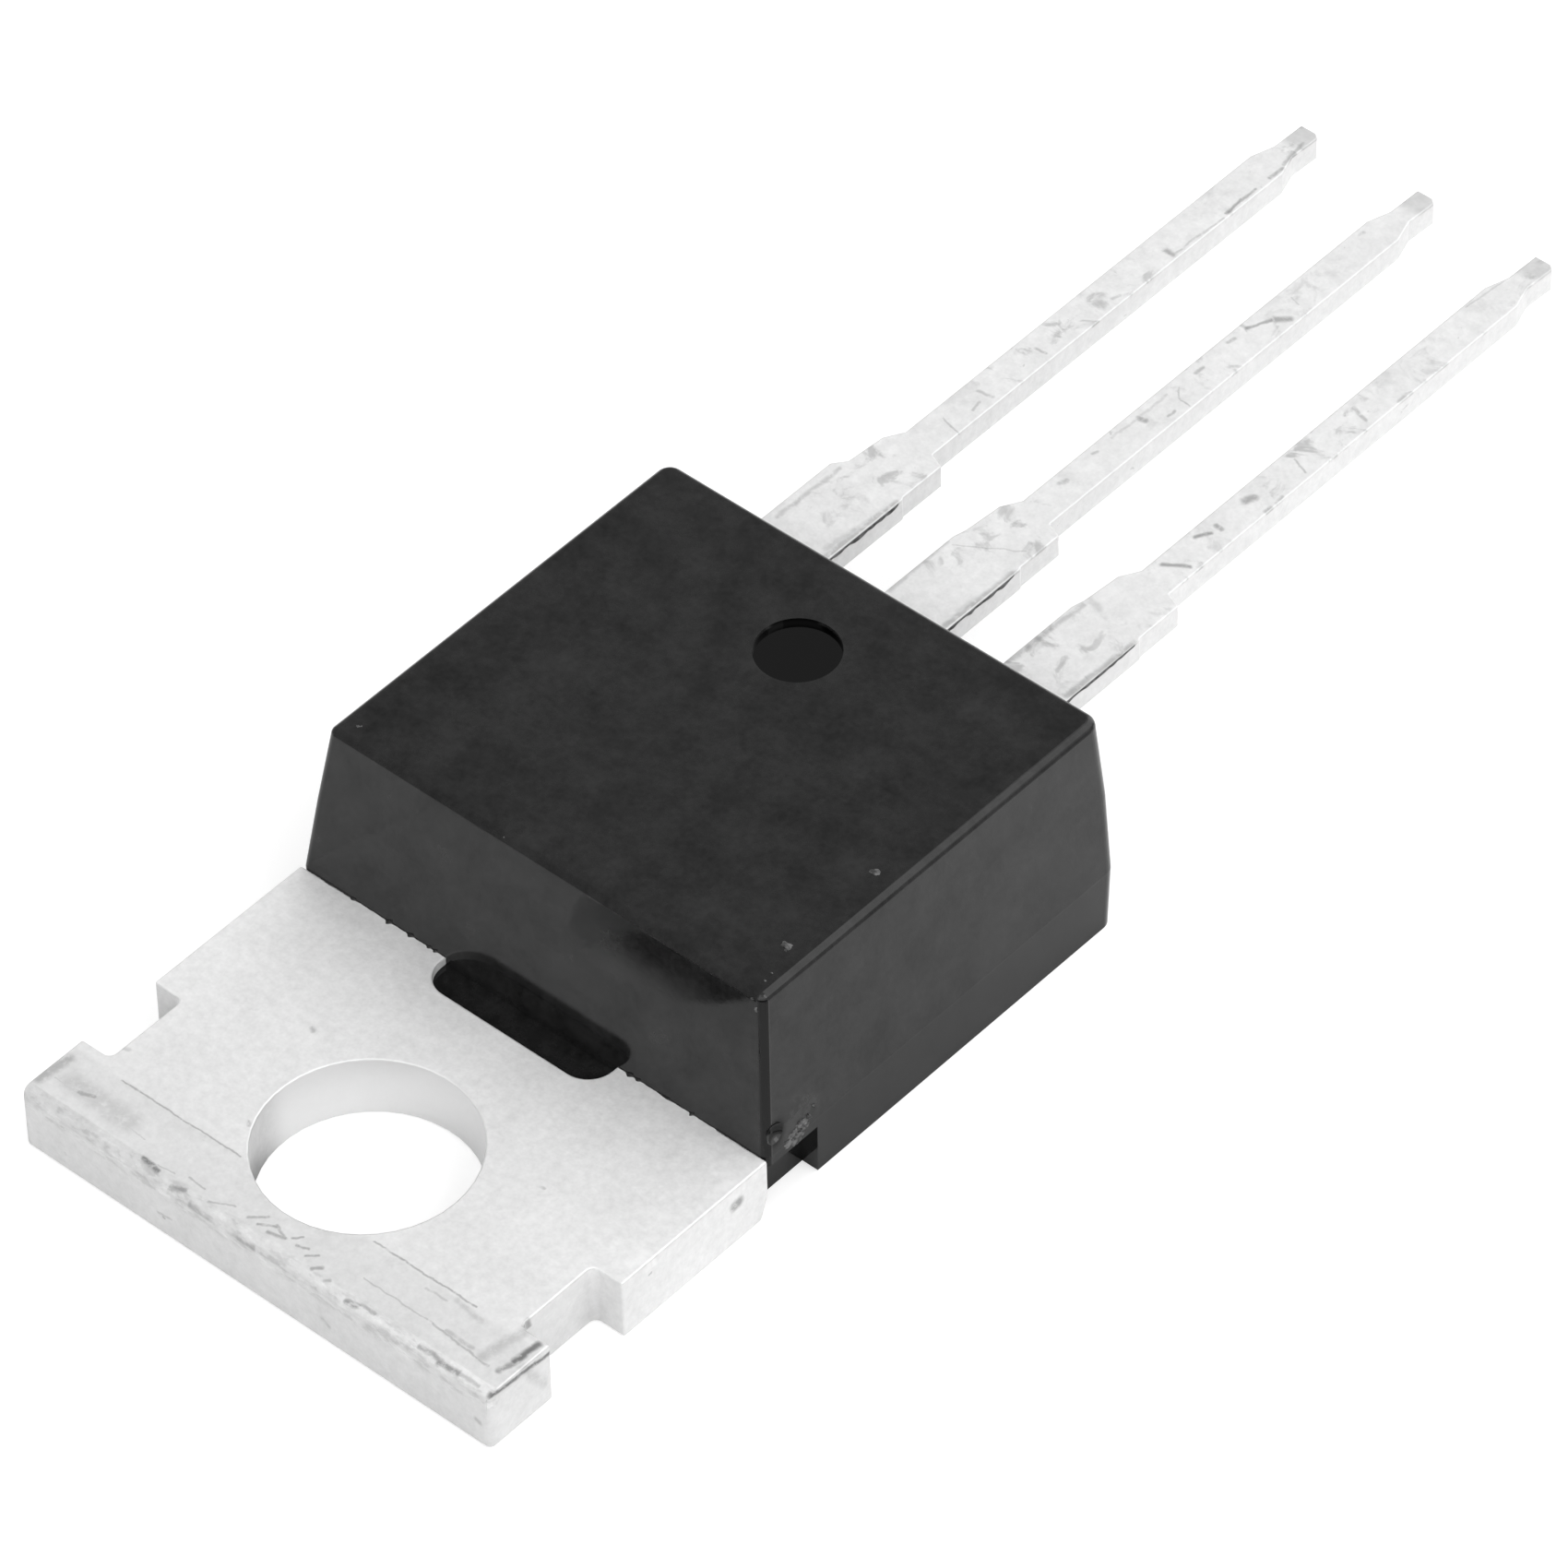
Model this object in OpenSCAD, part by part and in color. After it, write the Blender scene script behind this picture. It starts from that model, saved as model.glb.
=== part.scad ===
// Through-hole power transistor: a moulded epoxy body on a thick metal tab, with three flat leads.
// The part lies on its metal back. The origin is the centre of the mounting hole on the back plane.
// +X runs across the package, +Y from the tab end towards the lead tips, +Z up out of the back.
// Lead 1 is at +X, lead 2 is the tab's own strip in the middle, lead 3 is at -X.

/* [Package] */
// Width of the tab
package_w = 10.04; // [9.8:0.02:10.4]
// Height from the metal back to the top of the plastic
package_h = 4.28; // [4.2:0.02:4.6]
// Distance from the mounting hole to the front of the plastic
mould_front = 3.83; // [3.7:0.01:4]
// Length of the plastic at the parting line
mould_l = 8.59; // [8.5:0.01:9]
// How far the plastic stands inside the tab's edge, on each side
mould_side_step = 0.02; // [0:0.01:0.1]
// How far each side leans in from the height of the tab's top to the top
lean_side = 0.36; // [0.1:0.02:0.5]
// How far the front leans in from the tab to the top
lean_front = 0.42; // [0.1:0.01:0.5]
// How far the rear leans in from the leads up to the top
lean_rear = 0.02; // [0.01:0.01:0.2]
// How far the rear draws in from the leads down to the back
draw_rear = 0.12; // [0.02:0.01:0.3]
// How far the sides draw in from the height of the tab's top down to the back
draw_side = 0.02; // [0.01:0.01:0.06]
// Edge radius of the plastic
mould_r = 0.15; // [0.08:0.01:0.19]
// Radius of the two upright rear corners
mould_rear_r = 0.27; // [0.2:0.01:0.4]

/* [Corner notches and marks of the mould] */
// Depth of the two low corner notches, measured in from the side
notch_in = 0.35; // [0.2:0.01:0.45]
// Length of the corner notches along the leads
notch_l = 1.21; // [0.9:0.01:1.4]
// Height of the corner notches
notch_h = 1.02; // [0.7:0.01:1.1]
// Diameter of the round ejector mark on the top
ejector_d = 1.47; // [1.2:0.01:1.8]
// Distance of the ejector mark from the rear of the plastic
ejector_back = 2; // [1.6:0.05:3]
// Depth of the ejector mark
ejector_depth = 0.1; // [0.04:0.01:0.14]
// Size of the broken gate stub over the +X notch
gate_size = 0.42; // [0.3:0.01:0.5]

/* [Tab] */
// Thickness of the tab
tab_t = 1.22; // [1.2:0.01:1.3]
// Distance from the mounting hole to the end of the tab
tab_end = 2.66; // [2.5:0.02:3]
// Diameter of the mounting hole
hole_d = 3.73; // [3.5:0.01:3.9]
// Edge radius of the tab's rolled front edge
tab_roll_r = 0.22; // [0.08:0.01:0.3]
// Corner radius of the tab's front end, seen from above
tab_corner_r = 0.12; // [0.04:0.01:0.3]
// Depth of the two side notches
ear_notch_in = 0.61; // [0.4:0.01:0.7]
// Start of the side notches, before the mounting hole's centre
ear_notch_from = 1.24; // [1.1:0.01:1.4]
// Length of the side notches
ear_notch_l = 1.66; // [1.4:0.01:1.8]
// Corner radius inside the side notches
ear_notch_r = 0.14; // [0.08:0.01:0.3]
// How far the lower corner of the tab's shoulder is drawn in, beside the plastic
shoulder_draw = 0.17; // [0.05:0.01:0.3]
// Height of that drawn-in corner
shoulder_h = 0.45; // [0.2:0.01:0.6]
// Width of the slot that the plastic flows into
slot_w = 3.7; // [3.4:0.02:4]
// How far the slot shows in front of the plastic
slot_show = 0.62; // [0.5:0.01:0.8]
// Length of the slot along the leads
slot_l = 1.46; // [1.4:0.01:1.6]
// Corner radius of the slot
slot_r = 0.5; // [0.3:0.01:0.65]
// How far the plastic in the slot lies below the tab's top
slot_dip = 0.16; // [0.05:0.01:0.3]

/* [Paddle under the plastic] */
// Width of the metal pad under the plastic
pad_w = 7.9; // [7.6:0.05:8.2]
// Gap along the leads between the pad's end and the bonding posts
pad_gap = 0.7; // [0.6:0.02:0.9]
// Width of the locking lip along each side of the pad
lip_w = 0.26; // [0.15:0.01:0.35]
// Height of the underside of the locking lip
lip_z = 0.5; // [0.4:0.05:0.6]
// Thickness of the locking lip
lip_t = 0.4; // [0.3:0.05:0.5]

/* [Leads] */
// Spacing of the leads
pitch = 2.54; // [2.5:0.01:2.6]
// Thickness of the leads
lead_t = 0.46; // [0.4:0.01:0.55]
// Height of the leads' underside above the back
lead_z = 2.7; // [2.5:0.02:2.8]
// Width of the leads near the plastic
lead_wide = 1.34; // [1.2:0.01:1.5]
// Width of the leads' long part
lead_w = 0.69; // [0.6:0.01:0.9]
// Distance from the mounting hole to the cut bar's step
dam_from = 15.02; // [14.6:0.02:15.4]
// Length of the cut bar's stretch
dam_l = 1; // [0.8:0.02:1.2]
// How much narrower one side of the cut bar's stretch is
dam_step = 0.06; // [0.02:0.01:0.12]
// Extra width of lead 3's outer side before the cut bar
outer_extra = 0.13; // [0.05:0.01:0.16]
// Distance from the mounting hole to the lead tips
lead_end = 26.3; // [25:0.1:27.5]
// Length of the pinched nib at each tip
nib_l = 0.7; // [0.4:0.02:1]
// Width of the nib
nib_w = 0.4; // [0.3:0.01:0.5]
// Length of the taper behind the nib
nib_taper = 0.45; // [0.3:0.02:0.8]
// Rise angle of the middle lead inside the plastic
joggle_angle = 60; // [55:1:68]
// Inner bend radius of the middle lead
joggle_r = 0.3; // [0.2:0.02:0.36]
// Width of the bonding post on lead 1
post1_w = 2; // [1.8:0.05:2.3]
// Width of the bonding post on lead 3
post3_w = 2.4; // [2.2:0.05:2.5]
// Length of the bonding posts
post_l = 1.15; // [1:0.05:1.2]
// Wall of plastic between the posts and the rear
post_wall = 0.6; // [0.5:0.02:0.7]

/* [Chip and wires] */
// Width of the silicon chip
chip_w = 3.6; // [3:0.05:4]
// Length of the silicon chip
chip_l = 4.3; // [3.9:0.05:4.5]
// Thickness of the silicon chip
chip_t = 0.28; // [0.2:0.01:0.32]
// Thickness of the solder under the chip
solder_t = 0.06; // [0.04:0.01:0.08]
// How far the solder reaches past the chip on each side
solder_rim = 0.12; // [0.08:0.01:0.2]
// Distance of the chip's rear edge from the pad's end
chip_back = 0.4; // [0.3:0.02:0.5]
// Diameter of the thick wires to lead 3
source_wire_d = 0.38; // [0.25:0.01:0.42]
// Diameter of the thin wire to lead 1
gate_wire_d = 0.15; // [0.12:0.01:0.2]

/* [Hidden] */
$fn = 48;
eps = 0.02;
mould_rear = mould_front + mould_l;
mould_w = package_w - 2 * mould_side_step;
lead_top = lead_z + lead_t;
slot_from = mould_front - slot_show;
post_rear = mould_rear - post_wall;
post_mid = post_rear - post_l / 2;
pad_end = post_rear - post_l - pad_gap;
chip_rear = pad_end - chip_back;
chip_top = tab_t + solder_t + chip_t;
dam_to = dam_from + dam_l;
plating = [0.86, 0.86, 0.86];
epoxy = [0.2, 0.2, 0.2];

// A rectangle from corner to corner with four round corners
module round_rect(x0, y0, x1, y1, r) {
    translate([x0 + r, y0]) square([x1 - x0 - 2 * r, y1 - y0]);
    translate([x0, y0 + r]) square([x1 - x0, y1 - y0 - 2 * r]);
    for (x = [x0 + r, x1 - r], y = [y0 + r, y1 - r]) translate([x, y]) circle(r);
}

module slot_outline() {
    round_rect(-slot_w / 2, slot_from, slot_w / 2, slot_from + slot_l, slot_r);
}

// The tab from above: two notched ears, the mounting hole and the locking slot
module tab_outline() {
    difference() {
        union() {
            round_rect(-package_w / 2, -tab_end, package_w / 2, mould_front - 1, tab_corner_r);
            translate([-package_w / 2, 0]) square([package_w, mould_front]);
        }
        for (s = [-1, 1])
            scale([s, 1]) round_rect(package_w / 2 - ear_notch_in, -ear_notch_from,
                package_w / 2 + 1, -ear_notch_from + ear_notch_l, ear_notch_r);
        circle(d = hole_d);
        slot_outline();
    }
}

module pad_outline() {
    difference() {
        translate([-pad_w / 2, mould_front - eps]) square([pad_w, pad_end - mould_front + eps]);
        slot_outline();
    }
}

// Outside half of an edge radius along X, used to roll the tab's front edge
module edge_cutter(r, l) {
    translate([-l / 2, 0, 0]) difference() {
        translate([0, -1, -r]) cube([l, 1 + r, 1 + r]);
        translate([-1, r, -r]) rotate([0, 90, 0]) cylinder(r = r, h = l + 2);
    }
}

// One lead from above, from y0 to the tip. extra widens the -X side before the cut bar.
module lead_outline(y0, extra) {
    w = lead_wide / 2;
    n = lead_w / 2;
    polygon([[w, y0], [w, dam_from], [w - dam_step / 2, dam_from + 0.03], [w - dam_step / 2, dam_to],
        [n, dam_to + 0.12], [n, lead_end - nib_l - nib_taper], [nib_w / 2, lead_end - nib_l],
        [nib_w / 2 + 0.03, lead_end - 0.08], [nib_w / 2 - 0.06, lead_end],
        [-nib_w / 2 + 0.02, lead_end], [-nib_w / 2, lead_end - nib_l],
        [-n, lead_end - nib_l - nib_taper], [-n, dam_to + 0.25], [-w + dam_step + 0.06, dam_to - 0.1],
        [-w + dam_step, dam_from + 0.12], [-w - extra, dam_from - 0.12], [-w - extra, y0]]);
}

// A strip of the lead metal bent through an angle, running along +Y. up = 1 starts level and
// turns upwards, up = -1 comes up at the angle and ends level.
module strip_bend(a, r_in, t, w, up) {
    translate([-w / 2, 0, up > 0 ? t + r_in : -r_in]) rotate([90, 0, 90]) rotate([0, 0, up > 0 ? -90 : 90])
        rotate_extrude(angle = a) translate([r_in, 0]) square([t, w]);
}

// The tab and the pad under the plastic. The real stamping also carries the middle lead, which
// is a solid of its own here, so that a simple hull can follow each of the two.
module heatsink_solid() {
    difference() {
        union() {
            linear_extrude(height = tab_t) tab_outline();
            linear_extrude(height = tab_t) pad_outline();
            for (s = [-1, 1]) translate([s * (pad_w / 2 + lip_w / 2 - 0.05), 0, 0])
                translate([-lip_w / 2 - 0.05, slot_from + slot_l + 0.3, lip_z])
                    cube([lip_w + 0.1, pad_end - slot_from - slot_l - 0.6, lip_t]);
        }
        translate([0, -tab_end, tab_t]) edge_cutter(tab_roll_r, package_w + 1);
        for (s = [-1, 1]) scale([s, 1, 1]) translate([mould_w / 2 - notch_in, mould_front, 0])
            rotate([90, 0, 90]) linear_extrude(height = 1) polygon([[-1.2 * shoulder_draw, -0.2 * shoulder_h],
                [0.2 * shoulder_draw, 1.2 * shoulder_h], [0.2 * shoulder_draw, -0.2 * shoulder_h]]);
    }
}

// The middle lead: it leaves the pad's end level with its top, rises in two bends inside the
// plastic and runs out at the height of the other two
module middle_lead_solid() {
    mid = joggle_r + lead_t / 2;
    rise = lead_z - (tab_t - lead_t);
    slope = (rise - 2 * mid * (1 - cos(joggle_angle))) / sin(joggle_angle);
    run = 2 * mid * sin(joggle_angle) + slope * cos(joggle_angle);
    translate([0, pad_end, tab_t - lead_t]) {
        strip_bend(joggle_angle, joggle_r, lead_t, lead_wide, 1);
        translate([-lead_wide / 2, 0, 0])
            translate([0, (joggle_r + lead_t) * sin(joggle_angle),
                lead_t + joggle_r - (joggle_r + lead_t) * cos(joggle_angle)])
            rotate([joggle_angle, 0, 0]) cube([lead_wide, slope, lead_t]);
        translate([0, run, rise]) strip_bend(joggle_angle, joggle_r, lead_t, lead_wide, -1);
        translate([-lead_wide / 2, run, rise]) cube([lead_wide, 0.3, lead_t]);
    }
    translate([0, 0, lead_z]) linear_extrude(height = lead_t) lead_outline(pad_end + run + 0.1, 0);
}

// Side leads: the strip outside, a wider bonding post with a locking hole inside
module side_lead(x, post_x0, post_w, extra) {
    translate([0, 0, lead_z]) linear_extrude(height = lead_t) difference() {
        union() {
            translate([x, 0]) lead_outline(post_rear - 0.1, extra);
            translate([post_x0, post_rear - post_l]) square([post_w, post_l]);
        }
        translate([x, post_rear + 0.02]) circle(d = 0.5);
    }
}

module gate_lead_solid() { side_lead(pitch, pitch - lead_wide / 2 - 0.2, post1_w, 0); }
module source_lead_solid() {
    side_lead(-pitch, -pitch + lead_wide / 2 + 0.2 - post3_w, post3_w, outer_extra);
}

module chip_solid() {
    translate([-chip_w / 2, chip_rear - chip_l, tab_t + solder_t]) cube([chip_w, chip_l, chip_t]);
}

module solder_solid() {
    translate([-chip_w / 2 - solder_rim, chip_rear - chip_l - solder_rim, tab_t])
        cube([chip_w + 2 * solder_rim, chip_l + 2 * solder_rim, solder_t]);
}

// A bonded wire: it leaves the chip upright and comes down on the post in one arc.
// p is the foot on the chip, q the foot on the post, d the wire's diameter.
module bond_wire(p, q, d) {
    dx = q[0] - p[0];
    dy = q[1] - p[1];
    l = sqrt(dx * dx + dy * dy);
    h = lead_top + d / 2 - chip_top;
    r = (l * l + h * h) / (2 * l);
    sweep = 180 - atan2(h, l - r);
    translate([p[0], p[1], chip_top]) rotate([0, 0, atan2(dy, dx)]) {
        translate([r, 0, 0]) rotate([90, 0, 0]) rotate([0, 0, 180 - sweep])
            rotate_extrude(angle = sweep) translate([r, 0]) circle(d = d);
        cylinder(d = d * 1.5, h = d / 3);
        translate([l - 0.6 * d, -0.6 * d, lead_top - chip_top]) cube([1.9 * d, 1.2 * d, 0.7 * d]);
    }
}

module gate_wire_solid() {
    bond_wire([chip_w / 2 - 0.6, chip_rear - 0.6],
        [pitch - lead_wide / 2 - 0.2 + post1_w / 2, post_mid], gate_wire_d);
}
module source_inner_solid() {
    bond_wire([-0.25, chip_rear - 0.9], [-pitch + lead_wide / 2 - 0.25, post_mid], source_wire_d);
}
module source_outer_solid() {
    bond_wire([-1.25, chip_rear - 0.9],
        [-pitch + lead_wide / 2 - 1.35, post_mid], source_wire_d);
}

// One ring of the moulding's outer form: four round corners at one height
module ring(half_w, y0, y1, z) {
    for (s = [-1, 1]) {
        translate([s * (half_w - mould_r), y0 + mould_r, z]) cylinder(r = mould_r, h = 0.01, $fn = 32);
        translate([s * (half_w - mould_rear_r), y1 - mould_rear_r, z])
            cylinder(r = mould_rear_r, h = 0.01, $fn = 40);
    }
}

// The outer form. The sides and the front rise in one plane each from the tab's top, the rear
// has its parting line under the leads, and the upper edges are round.
module mould_form() {
    mid = lead_z - tab_t;
    hull() {
        ring(mould_w / 2 - draw_side, mould_front, mould_rear - draw_rear, 0);
        ring(mould_w / 2, mould_front, mould_rear - draw_rear * mid / lead_z, tab_t);
        ring(mould_w / 2 - lean_side * mid / (package_h - tab_t),
            mould_front + lean_front * mid / (package_h - tab_t), mould_rear, lead_z);
        for (s = [-1, 1]) {
            translate([s * (mould_w / 2 - lean_side - mould_r), mould_front + lean_front + mould_r,
                package_h - mould_r]) sphere(r = mould_r, $fn = 32);
            translate([s * (mould_w / 2 - lean_side - mould_rear_r), mould_rear - lean_rear - mould_rear_r,
                package_h - mould_r]) rotate_extrude($fn = 40) intersection() {
                    translate([mould_rear_r - mould_r, 0]) circle(r = mould_r, $fn = 32);
                    translate([0, -1]) square([1, 2]);
                }
        }
    }
}

// The torn stub where the resin ran in, with the small crater beside it
module gate_stub() {
    translate([mould_w / 2 - 0.17, mould_front + 0.75, notch_h + 0.08])
        hull() for (p = [[0, -0.3, 0, 0.1], [0.05, 0, -0.02, 0.14], [0.02, 0.25, 0.1, 0.08]])
            translate([p[0], p[1], p[2]]) sphere(r = p[3] * gate_size / 0.42, $fn = 16);
}

module gate_crater() {
    translate([mould_w / 2 + 0.1, mould_front + 0.24, notch_h + 0.62]) sphere(r = gate_size * 0.6, $fn = 24);
}

module moulded_body() color(epoxy) {
    difference() {
        union() {
            mould_form();
            linear_extrude(height = tab_t - slot_dip) intersection() {
                slot_outline();
                translate([-slot_w, slot_from - 1]) square([2 * slot_w, 1 + slot_show + eps]);
            }
            gate_stub();
        }
        for (s = [-1, 1]) scale([s, 1, 1])
            translate([mould_w / 2 - notch_in, mould_front - 1, -1]) cube([2, 1 + notch_l, 1 + notch_h]);
        gate_crater();
        translate([-0.08, mould_rear - ejector_back, package_h - ejector_depth])
            cylinder(d = ejector_d, h = 1);
        heatsink_solid();
        middle_lead_solid();
        gate_lead_solid();
        source_lead_solid();
        chip_solid();
        solder_solid();
        gate_wire_solid();
        source_inner_solid();
        source_outer_solid();
    }
}

module heatsink_tab() color(plating) heatsink_solid();
module middle_lead() color(plating) middle_lead_solid();
module gate_lead() color(plating) gate_lead_solid();
module source_lead() color(plating) source_lead_solid();
module chip() color([0.45, 0.46, 0.5]) chip_solid();
module chip_solder() color([0.68, 0.68, 0.7]) solder_solid();
module gate_wire() color([0.9, 0.9, 0.92]) gate_wire_solid();
module source_wire_inner() color([0.9, 0.9, 0.92]) source_inner_solid();
module source_wire_outer() color([0.9, 0.9, 0.92]) source_outer_solid();

moulded_body();
heatsink_tab();
middle_lead();
gate_lead();
source_lead();
chip();
chip_solder();
gate_wire();
source_wire_inner();
source_wire_outer();
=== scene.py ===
"""Looks of the power transistor: tin-plated tab and leads, black moulding compound, plain pale studio."""
import math
import bpy
import numpy as np
from mathutils import Matrix, Vector


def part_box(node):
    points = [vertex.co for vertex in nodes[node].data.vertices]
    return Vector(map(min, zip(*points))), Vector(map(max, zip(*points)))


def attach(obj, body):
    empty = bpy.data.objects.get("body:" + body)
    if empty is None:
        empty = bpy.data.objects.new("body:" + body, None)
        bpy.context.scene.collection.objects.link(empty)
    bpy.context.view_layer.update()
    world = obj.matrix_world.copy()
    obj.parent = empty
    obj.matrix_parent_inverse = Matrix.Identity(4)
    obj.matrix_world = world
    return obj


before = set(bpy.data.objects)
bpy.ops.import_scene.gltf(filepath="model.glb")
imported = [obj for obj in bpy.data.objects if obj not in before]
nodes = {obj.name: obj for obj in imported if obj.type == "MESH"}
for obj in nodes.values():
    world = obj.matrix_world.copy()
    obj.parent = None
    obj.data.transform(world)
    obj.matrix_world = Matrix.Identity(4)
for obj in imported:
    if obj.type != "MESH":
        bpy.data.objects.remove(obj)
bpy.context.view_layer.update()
MM = 0.001


def top_of(node):
    """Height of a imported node's top over the metal back, in mm."""
    return round(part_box(node)[1][2] / MM, 3)


# Places and sizes of the part in mm, from the centre of the hole on the metal back
TAB_TOP = top_of("heatsink_tab")
LEAD_TOP = top_of("gate_lead")
HOLE_RADIUS = 1.865
FRONT_BAND_END = -1.45
PLASTIC_FRONT = 3.83
PLASTIC_REAR = 12.42
PLASTIC_SIDE = 5.0
EJECTOR_X = -0.08
EJECTOR_Y = 10.42
EJECTOR_RADIUS = 0.735
EJECTOR_FLOOR = 4.18
LEAD_SPACING = 2.54
LEAD_HALF_WIDTH = 0.67

# Clean tin: its grey, and how metallic its shine is
TIN = 0.75
TIN_METAL = 0.25

# How far the edges of scuffs, stains and painted marks of shade and highlight waver, in mm
WAVER = 0.05


# Node helpers
class Sheet:
    """A node tree with short ways to add and join nodes."""

    def __init__(self, tree):
        self.tree = tree
        self.nodes = tree.nodes
        self.links = tree.links

    def add(self, kind, **settings):
        node = self.nodes.new(kind)
        for key, value in settings.items():
            setattr(node, key, value)
        return node

    def put(self, socket, value):
        """Joins a socket to the input, or sets a plain value on it."""
        if isinstance(value, bpy.types.NodeSocket):
            self.links.new(value, socket)
        else:
            socket.default_value = value

    def maths(self, operation, a, b, clamp=False):
        node = self.add("ShaderNodeMath", operation=operation, use_clamp=clamp)
        self.put(node.inputs[0], a)
        self.put(node.inputs[1], b)
        return node.outputs[0]

    def plus(self, a, b):
        return self.maths("ADD", a, b)

    def minus(self, a, b):
        return self.maths("SUBTRACT", a, b)

    def rest(self, mask):
        """What a mask leaves over: 1 where it is 0."""
        return self.minus(1.0, mask)

    def times(self, first, *others):
        """The product of all the values."""
        for value in others:
            first = self.maths("MULTIPLY", first, value)
        return first

    def most(self, first, *others):
        """The greatest of all the values."""
        for value in others:
            first = self.maths("MAXIMUM", first, value)
        return first

    def darker(self, value, mask, least):
        """The value, down to its share 'least' where the mask is 1."""
        return self.times(value, self.rest(self.times(mask, 1.0 - least)))

    def lighter(self, value, mask, to):
        """The value blended towards 'to' where the mask is 1."""
        return self.plus(self.times(value, self.rest(mask)), self.times(mask, to))

    def ramp(self, value, low, high, to_low=0.0, to_high=1.0):
        """value carried from low..high to to_low..to_high with soft ends, held outside. It has no clamp,
        which would change nothing here and, with many marks, makes the renderer turn the piece black."""
        node = self.add("ShaderNodeMapRange", interpolation_type="SMOOTHSTEP", clamp=False)
        for i, v in enumerate((value, low, high, to_low, to_high)):
            self.put(node.inputs[i], v)
        return node.outputs[0]

    def ramp_mm(self, value, low, high, to_low=0.0, to_high=1.0):
        """A ramp over a place or distance, with low and high in mm."""
        return self.ramp(value, low * MM, high * MM, to_low, to_high)

    def band(self, value, low, high, soft):
        """1 where value is between low and high, falling to 0 over soft on both sides."""
        return self.times(self.ramp(value, low - soft, low), self.ramp(value, high, high + soft, 1.0, 0.0))

    def noise(self, vector, scale, detail=2.0, rough=0.5, distortion=0.0):
        node = self.add("ShaderNodeTexNoise")
        self.put(node.inputs["Vector"], vector)
        node.inputs["Scale"].default_value = scale
        node.inputs["Detail"].default_value = detail
        node.inputs["Roughness"].default_value = rough
        node.inputs["Distortion"].default_value = distortion
        return node.outputs["Fac"]

    def vector(self, operation, a, b=None):
        """One step of vector maths. Its result is a number where the operation measures something."""
        node = self.add("ShaderNodeVectorMath", operation=operation)
        self.put(node.inputs[0], a)
        if b is not None:
            self.put(node.inputs["Scale" if operation == "SCALE" else 1], b)
        measures = operation in ("DOT_PRODUCT", "LENGTH", "DISTANCE")
        return node.outputs["Value" if measures else "Vector"]

    def split(self, vector):
        """x, y and z of a vector."""
        node = self.add("ShaderNodeSeparateXYZ")
        self.put(node.inputs[0], vector)
        return node.outputs

    def flat(self, x, y):
        """A vector of x and y, with z at 0."""
        node = self.add("ShaderNodeCombineXYZ")
        self.put(node.inputs[0], x)
        self.put(node.inputs[1], y)
        return node.outputs[0]

    def even(self, value):
        """A grey colour with the value in all three parts."""
        node = self.add("ShaderNodeCombineColor")
        for i in range(3):
            self.put(node.inputs[i], value)
        return node.outputs[0]

    def blend(self, factor, a, b):
        """Colour a turning to colour b."""
        node = self.add("ShaderNodeMix", data_type="RGBA")
        self.put(node.inputs[0], factor)
        self.put(node.inputs[6], a)
        self.put(node.inputs[7], b)
        return node.outputs[2]

    def group(self, tree, **values):
        """A node group placed with its own values."""
        node = self.add("ShaderNodeGroup")
        node.node_tree = tree
        for key, value in values.items():
            self.put(node.inputs[key], value)
        return node.outputs


class Surface(Sheet):
    """A new material with its shader's inputs and its place on the part, in metres."""

    def __init__(self, name):
        self.material = bpy.data.materials.new(name)
        self.material.use_nodes = True
        super().__init__(self.material.node_tree)
        self.shader = self.nodes["Principled BSDF"].inputs
        self.place = self.add("ShaderNodeTexCoord").outputs["Object"]
        self.x, self.y, self.z = self.split(self.place)

    def facing(self):
        """The surface's own direction, as x, y and z."""
        return self.split(self.add("ShaderNodeNewGeometry").outputs["Normal"])

    def relief(self, height, strength, depth):
        """Fine bumps from a height, with their depth in mm."""
        bump = self.add("ShaderNodeBump")
        bump.inputs["Strength"].default_value = strength
        bump.inputs["Distance"].default_value = depth * MM
        self.put(bump.inputs["Height"], height)
        self.put(self.shader["Normal"], bump.outputs[0])


def new_group(name, inputs, outputs):
    """An empty shader node group. Its sockets are named, and each is a float or a vector."""
    tree = bpy.data.node_groups.new(name, "ShaderNodeTree")
    kinds = {"float": "NodeSocketFloat", "vector": "NodeSocketVector"}
    for label, kind in inputs.items():
        tree.interface.new_socket(label, in_out="INPUT", socket_type=kinds[kind])
    for label, kind in outputs.items():
        tree.interface.new_socket(label, in_out="OUTPUT", socket_type=kinds[kind])
    s = Sheet(tree)
    return s, s.add("NodeGroupInput").outputs, s.add("NodeGroupOutput").inputs


def plating_grain_group():
    """Matte tin: soft cloudy patches, small crystals and fine pits, as a shade and a height."""
    s, come, go = new_group("plating_grain", {"Vector": "vector", "Depth": "float"},
                            {"Shade": "float", "Height": "float"})
    cloud = s.noise(come["Vector"], 1100.0, 3.0, 0.6)
    crystal = s.noise(come["Vector"], 6500.0, 2.0, 0.5)
    pit = s.noise(come["Vector"], 17000.0, 1.0, 0.5)
    mixed = s.plus(s.plus(s.times(cloud, 0.3), s.times(crystal, 0.45)), s.times(pit, 0.25))
    s.put(go["Shade"], s.plus(s.times(s.minus(mixed, 0.5), come["Depth"]), 1.0))
    s.put(go["Height"], mixed)
    return s.tree


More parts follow.
